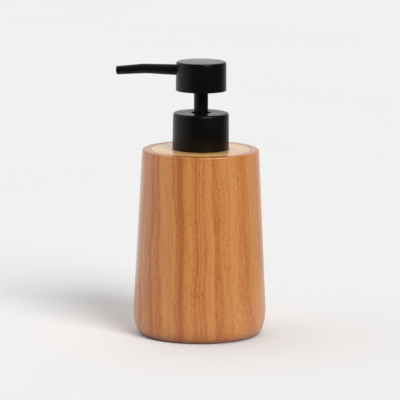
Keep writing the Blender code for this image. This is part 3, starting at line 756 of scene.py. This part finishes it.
def valve_cage():
    """The plate over the lower ball, with flow holes and a nib that stops the ball."""
    low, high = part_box("ball_cage")
    plate_foot = low.z + CAGE_NIB
    outline = [
        (high.x, high.z),
        (high.x, plate_foot),
        (CAGE_NIB_ROOT_RADIUS, plate_foot),
        (CAGE_NIB_TIP_RADIUS, low.z),
        (0, low.z),
        (0, high.z),
    ]
    cage = turned_piece("valve_cage", outline, "pump", "natural_plastic", "ball_cage", SOFT_EDGE, SMALL_SIDES)
    for i in range(CAGE_HOLES):
        angle = 2 * pi * i / CAGE_HOLES
        x, y = CAGE_HOLE_CIRCLE * cos(angle), CAGE_HOLE_CIRCLE * sin(angle)
        start, end = Vector((x, y, low.z)), Vector((x, y, high.z + CAGE_NIB))
        combine(cage, bar(CAGE_HOLE_RADIUS, start, end, MATERIALS["natural_plastic"]), "DIFFERENCE")


def suction_tube():
    """The dip tube, its lower end cut at a slant."""
    low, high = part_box("dip_tube")
    tube = plain_ring(
        "suction_tube", DIP_TUBE_BORE, "pump", "natural_plastic", "dip_tube", SOFT_EDGE, SMALL_SIDES
    )
    for vertex in tube.data.vertices:
        if vertex.co.z < low.z + SOFT_EDGE + MERGE:
            vertex.co.z += DIP_TUBE_SLANT * (vertex.co.x + high.x)


def return_spring():
    """The spring's wire, with one close turn at each end."""
    low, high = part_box("spring")
    radius = high.x - SPRING_WIRE
    middle_pitch = (high.z - low.z - 2 * SPRING_WIRE - 2 * SPRING_END_PITCH) / (SPRING_TURNS - 2)
    sections = []
    for i in range(SPRING_TURNS * SPRING_STEPS + 1):
        turn = i / SPRING_STEPS
        open_turns = min(max(turn - 1, 0), SPRING_TURNS - 2)
        rise = low.z + SPRING_WIRE + (turn - open_turns) * SPRING_END_PITCH + open_turns * middle_pitch
        out = Vector((cos(2 * pi * turn), sin(2 * pi * turn), 0))
        wire = [2 * pi * side / WIRE_SIDES for side in range(WIRE_SIDES)]
        centre = radius * out + Vector((0, 0, rise))
        sections.append([centre + SPRING_WIRE * (cos(a) * out + sin(a) * Vector((0, 0, 1))) for a in wire])
    spring = swept("return_spring", sections, MATERIALS["steel"])
    stand_for(spring, "pump", "steel", "spring")
    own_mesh(spring)


def ball(name, body, node):
    """A valve ball, turned from a half circle."""
    low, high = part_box(node)
    radius = (high.z - low.z) / 2
    outline = [(abs(x), z) for x, z in arc((0, low.z + radius), (radius, radius), 90, -90, SMALL_SIDES // 2)]
    obj = turned(name, outline, MATERIALS["steel"], SMALL_SIDES)
    stand_for(obj, body, "steel", node)


# ---------------------------------------------------------------- the stem and the press head

STEM_BORE = 1.9 * MM
STEM_RADIUS = 3.6 * MM
STEM_SHOULDER_FOOT = 121.0 * MM
STEM_SHOULDER = 1.8 * MM
STEM_PORT_RADIUS = 0.8 * MM
PISTON_WAIST_RADIUS = 5.2 * MM
FOOT_PLUG_RADIUS = 1.55 * MM
FOOT_FLANGE = 1.4 * MM
SLEEVE_BORE = 3.92 * MM
HEAD_TOP_RADIUS = 14.95 * MM
HEAD_FILLET = 1.1 * MM
CORE_FLANGE = 1.2 * MM
CORE_HUB_RADIUS = 7.0 * MM
CORE_STEM_BORE = 3.9 * MM
CORE_SLEEVE_BORE = 4.6 * MM
CORE_CHAMBER_RADIUS = 2.9 * MM
CORE_CHAMBER_TOP = 161.0 * MM
CORE_BOSS_RADIUS = 4.3 * MM
CORE_BOSS_END = 13.2 * MM
CORE_CHANNEL_RADIUS = 1.5 * MM
SPOUT_HEIGHT = 158.7 * MM
SPOUT_BEND = 34.8 * MM  # distance from the axis to the bend
SPOUT_REACH = 52.0 * MM  # distance from the axis to the tip
SPOUT_DROOP = radians(5.8)
SPOUT_BEND_RADIUS = 40.0 * MM
SPOUT_BEND_STEPS = 10
SPOUT_RUN_STEPS = 10
SPOUT_SIDES = 48
SPOUT_ROOT_RADIUS = 3.4 * MM
SPOUT_BEND_TUBE_RADIUS = 2.9 * MM
SPOUT_TIP_RADIUS = 2.55 * MM
SPOUT_WALL = 0.7 * MM


def piston_ring():
    """The piston: a lip at each end and a waist between them."""
    low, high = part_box("piston")
    quarter = (high.z - low.z) / 4
    outline = [
        (high.x, high.z),
        (PISTON_WAIST_RADIUS, high.z - quarter),
        (PISTON_WAIST_RADIUS, low.z + quarter),
        (high.x, low.z),
        (STEM_RADIUS + GAP, low.z),
        (STEM_RADIUS + GAP, high.z),
    ]
    turned_piece("piston_ring", outline, "plunger", "natural_plastic", "piston")


def stem_rod():
    """The hollow stem, with the shoulder that drives the piston and the ports through its wall."""
    low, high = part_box("stem")
    shoulder_top = STEM_SHOULDER_FOOT + STEM_SHOULDER
    outline = [
        (STEM_RADIUS, high.z),
        (STEM_RADIUS, shoulder_top),
        (high.x, shoulder_top - GAP),
        (high.x, STEM_SHOULDER_FOOT),
        (STEM_RADIUS, STEM_SHOULDER_FOOT),
        (STEM_RADIUS, low.z),
        (STEM_BORE, low.z),
        (STEM_BORE, high.z),
    ]
    rod = turned_piece("stem_rod", outline, "head", "black_plastic", "stem")
    piston_low, piston_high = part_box("piston")
    port = Vector((0, 0, (piston_low.z + piston_high.z) / 2))
    reach = Vector((2 * STEM_RADIUS, 0, 0))
    combine(rod, bar(STEM_PORT_RADIUS, port - reach, port + reach, MATERIALS["black_plastic"]), "DIFFERENCE")


def stem_plug():
    """The plug in the stem's lower end, with the flange that the spring pushes on."""
    low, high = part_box("stem_foot")
    flange_top = low.z + FOOT_FLANGE
    outline = [
        (0, high.z),
        (FOOT_PLUG_RADIUS, high.z),
        (FOOT_PLUG_RADIUS, flange_top),
        (high.x, flange_top),
        (high.x, low.z),
        (0, low.z),
    ]
    turned_piece("stem_plug", outline, "head", "natural_plastic", "stem_foot")


def head_cap():
    """The head's metal cap, with the round hole that the spout passes through."""
    low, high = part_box("head_shell")
    outline = cup_outline(low.z, high.z, high.x, HEAD_TOP_RADIUS, HEAD_FILLET, 0.0)
    cap = turned_piece("head_cap", outline, "head", "black_metal", "head_shell", SOFT_EDGE, FINE_SIDES)
    start = Vector((-CORE_HUB_RADIUS, 0, SPOUT_HEIGHT))
    end = Vector((-high.x - SHEET, 0, SPOUT_HEIGHT))
    combine(cap, bar(SPOUT_ROOT_RADIUS + GAP, start, end, MATERIALS["black_metal"]), "DIFFERENCE")


def head_hub():
    """The plastic hub inside the head: the stem's bore, the upper ball's chamber and the spout's socket."""
    low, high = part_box("head_core")
    sleeve_bore_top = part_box("stem_sleeve")[1].z + GAP
    chamber_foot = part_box("stem")[1].z + GAP
    outline = [
        (0, high.z),
        (CORE_HUB_RADIUS, high.z),
        (CORE_HUB_RADIUS, low.z + CORE_FLANGE),
        (high.x, low.z + CORE_FLANGE),
        (high.x, low.z),
        (CORE_SLEEVE_BORE, low.z),
        (CORE_SLEEVE_BORE, sleeve_bore_top),
        (CORE_STEM_BORE, sleeve_bore_top),
        (CORE_STEM_BORE, chamber_foot),
        (CORE_CHAMBER_RADIUS, chamber_foot),
        (CORE_CHAMBER_RADIUS, CORE_CHAMBER_TOP),
        (0, CORE_CHAMBER_TOP),
    ]
    hub = turned_piece("head_hub", outline, "head", "black_plastic", "head_core")
    joint = -(CORE_CHAMBER_RADIUS + CORE_HUB_RADIUS) / 2
    socket_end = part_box("spout_tube")[1].x + GAP
    outside = -CORE_BOSS_END - SHEET
    for radius, start, end, operation in (
        (CORE_BOSS_RADIUS, joint, -CORE_BOSS_END, "UNION"),
        (SPOUT_ROOT_RADIUS + GAP, socket_end, outside, "DIFFERENCE"),
        (CORE_CHANNEL_RADIUS, 0.0, outside, "DIFFERENCE"),
    ):
        ends = Vector((start, 0, SPOUT_HEIGHT)), Vector((end, 0, SPOUT_HEIGHT))
        combine(hub, bar(radius, *ends, MATERIALS["black_plastic"]), operation)


def spout_stations():
    """Centre, droop angle and radius of the spout's sections, from its root to its tip."""
    root = Vector((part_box("spout_tube")[1].x, 0, SPOUT_HEIGHT))
    bend_start = Vector((-SPOUT_BEND + SPOUT_BEND_RADIUS * SPOUT_DROOP / 2, 0, SPOUT_HEIGHT))
    stations = []
    for i in range(SPOUT_RUN_STEPS):
        share = i / SPOUT_RUN_STEPS
        radius = SPOUT_ROOT_RADIUS + (SPOUT_BEND_TUBE_RADIUS - SPOUT_ROOT_RADIUS) * share
        stations.append((root.lerp(bend_start, share), 0.0, radius))
    for i in range(SPOUT_BEND_STEPS + 1):
        droop = SPOUT_DROOP * i / SPOUT_BEND_STEPS
        offset = Vector((-sin(droop), 0, cos(droop) - 1)) * SPOUT_BEND_RADIUS
        stations.append((bend_start + offset, droop, SPOUT_BEND_TUBE_RADIUS))
    bend_end = stations[-1][0]
    run = (SPOUT_REACH + bend_end.x) / cos(SPOUT_DROOP)
    onward = Vector((-cos(SPOUT_DROOP), 0, -sin(SPOUT_DROOP)))
    for i in range(1, SPOUT_RUN_STEPS + 1):
        share = i / SPOUT_RUN_STEPS
        radius = SPOUT_BEND_TUBE_RADIUS + (SPOUT_TIP_RADIUS - SPOUT_BEND_TUBE_RADIUS) * share
        stations.append((bend_end + onward * run * share, SPOUT_DROOP, radius))
    return stations


def spout_ring(centre, droop, radius):
    """Points round one section of the spout, square to its run."""
    upright = Vector((-sin(droop), 0, cos(droop)))
    angles = [2 * pi * i / SPOUT_SIDES for i in range(SPOUT_SIDES)]
    return [centre + radius * (cos(a) * Vector((0, 1, 0)) + sin(a) * upright) for a in angles]


def spout():
    """The tapered hollow spout, with a small round lip at its tip."""
    stations = spout_stations()
    tip, droop, radius = stations[-1]
    onward = Vector((-cos(droop), 0, -sin(droop)))
    wall_middle = radius - SPOUT_WALL / 2
    lip = [
        (tip - onward * LIP * (1 - sin(turn)), droop, wall_middle + SPOUT_WALL / 2 * cos(turn))
        for turn in (pi * i / LIP_STEPS for i in range(LIP_STEPS + 1))
    ]
    outside = stations[:-1] + lip
    inside = [(centre, droop, radius - SPOUT_WALL) for centre, droop, radius in reversed(stations[:-1])]
    rings = [spout_ring(*station) for station in outside + inside]
    tube = swept("spout", rings, MATERIALS["black_metal"], closed=True)
    stand_for(tube, "head", "black_metal", "spout_tube")


def build_pieces():
    wood_body()
    plain_ring("inlay_disc", DISC_HOLE_RADIUS, "bottle", "pale_wood", "top_disc", ARRIS, FINE_SIDES)
    plain_ring("foot_pad", 0.0, "bottle", "black_foam", "base_pad", ARRIS)
    inner_bottle()
    plain_ring("sealing_ring", NECK_BORE, "gasket", "grey_rubber", "gasket")
    for make in (pump_cylinder, guide_ring, valve_cage, suction_tube, return_spring):
        make()
    ball("lower_ball", "inlet_valve", "inlet_ball")
    for make in (collar_sleeve, screw_cap, piston_ring, stem_rod, stem_plug):
        make()
    plain_ring("stem_tube", SLEEVE_BORE, "head", "black_metal", "stem_sleeve")
    ball("upper_ball", "outlet_valve", "outlet_ball")
    for make in (head_cap, head_hub, spout):
        make()


# ---------------------------------------------------------------- stage, light and camera

FLOOR_REACH = 12.0
FLOOR_LEVEL = 0.892
FLOOR_TINT = (1.0, 0.995, 0.99)
FLOOR_UNEVENNESS = 0.02
MIRRORED_REACH = 200 * MM
MIRRORED_HEIGHT = 0.05 * MM
MIRRORED_LEVEL = 0.75


def floor_material(name, level):
    """A faintly uneven white or grey of this level, a little warm."""
    shade = Shading(name, 0.9, Specular_IOR_Level=0.1)
    tone = shade.noise(shade.mapped(shade.place, scale=(3.0, 3.0, 3.0)), 3.0, 0.5)
    light = level * Vector(FLOOR_TINT)
    shade.paint(shade.ramp(tone, [(0.3, (1 - FLOOR_UNEVENNESS) * light), (0.7, light)]))
    return shade.material


def plain_floor():
    """A pale floor that runs out of sight. Glossy surfaces don't mirror it, only the near floor."""
    shape = bmesh.new()
    bmesh.ops.create_grid(shape, x_segments=1, y_segments=1, size=FLOOR_REACH)
    floor = finish_mesh("floor", shape, floor_material("floor", FLOOR_LEVEL))
    floor.visible_glossy = False


def near_floor():
    """What glossy surfaces mirror of the floor: only the part round the foot, and less bright than it is."""
    shape = bmesh.new()
    bmesh.ops.create_circle(shape, cap_ends=True, segments=SMALL_SIDES, radius=MIRRORED_REACH)
    bmesh.ops.translate(shape, verts=shape.verts, vec=(0, 0, MIRRORED_HEIGHT))
    disc = finish_mesh("near_floor", shape, floor_material("near_floor", MIRRORED_LEVEL))
    disc.visible_camera = False
    disc.visible_diffuse = False
    disc.visible_transmission = False
    disc.visible_shadow = False


def world():
    """White surroundings with a dark part in front, where the camera and the dark of the room are."""
    scene = bpy.context.scene
    scene.world = bpy.data.worlds.new("studio")
    scene.world.use_nodes = True
    nodes, links = scene.world.node_tree.nodes, scene.world.node_tree.links
    turn = CAMERA_AZIMUTH + DARK_SIDE_TURN
    away = nodes.new("ShaderNodeVectorMath")
    away.operation = "DOT_PRODUCT"
    away.inputs[1].default_value = (-sin(turn), cos(turn), 0.0)
    links.new(nodes.new("ShaderNodeTexCoord").outputs["Generated"], away.inputs[0])
    share = nodes.new("ShaderNodeMapRange")
    share.interpolation_type = "SMOOTHSTEP"
    for socket, value in zip(share.inputs[1:5], (*DARK_EDGE, DARK_LEVEL, WHITE_LEVEL)):
        socket.default_value = value
    links.new(away.outputs["Value"], share.inputs[0])
    background = nodes["Background"]
    background.inputs["Color"].default_value = (1.0, 1.0, 1.0, 1.0)
    links.new(share.outputs[0], background.inputs["Strength"])
    scene.view_settings.view_transform = "Standard"


def from_camera_side(turn, elevation):
    """The direction that is turned to the right of the camera, and raised, as seen from the object."""
    azimuth = CAMERA_AZIMUTH + turn
    return Vector((sin(azimuth) * cos(elevation), -cos(azimuth) * cos(elevation), sin(elevation)))


def soft_light(name, turn, elevation, spread, strength, glossy=True):
    """A far, broad light, which glossy surfaces mirror or not."""
    lamp = bpy.data.lights.new(name, "SUN")
    lamp.angle = spread
    lamp.energy = strength
    obj = bpy.data.objects.new(name, lamp)
    obj.rotation_mode = "QUATERNION"
    obj.rotation_quaternion = from_camera_side(turn, elevation).to_track_quat("Z", "Y")
    obj.visible_glossy = glossy
    bpy.context.scene.collection.objects.link(obj)


def camera():
    lens = bpy.data.cameras.new("camera")
    lens.lens = CAMERA_LENS
    lens.sensor_width = CAMERA_SENSOR
    obj = bpy.data.objects.new("camera", lens)
    back = from_camera_side(0.0, CAMERA_ELEVATION)
    aside = Vector((cos(CAMERA_AZIMUTH), sin(CAMERA_AZIMUTH), 0)) * -CAMERA_ASIDE
    obj.location = Vector((0, 0, CAMERA_HEIGHT)) + aside + back * CAMERA_DISTANCE
    obj.rotation_mode = "QUATERNION"
    obj.rotation_quaternion = (-back).to_track_quat("-Z", "Y") @ Quaternion((0, 0, 1), CAMERA_ROLL)
    bpy.context.scene.collection.objects.link(obj)
    bpy.context.scene.camera = obj


def paint_cad():
    """The CAD nodes take the material of their slot in the record."""
    for part in frame["record"]["subparts"]:
        materials = frame["nodes"][part["node"]].data.materials
        materials.clear()
        materials.append(MATERIALS[part["material_slot"]])


build_pieces()
paint_cad()
plain_floor()
near_floor()
world()
soft_light("key", KEY_TURN, KEY_ELEVATION, KEY_SPREAD, KEY_STRENGTH)
soft_light("fill", FILL_TURN, FILL_ELEVATION, FILL_SPREAD, FILL_STRENGTH, glossy=False)
camera()
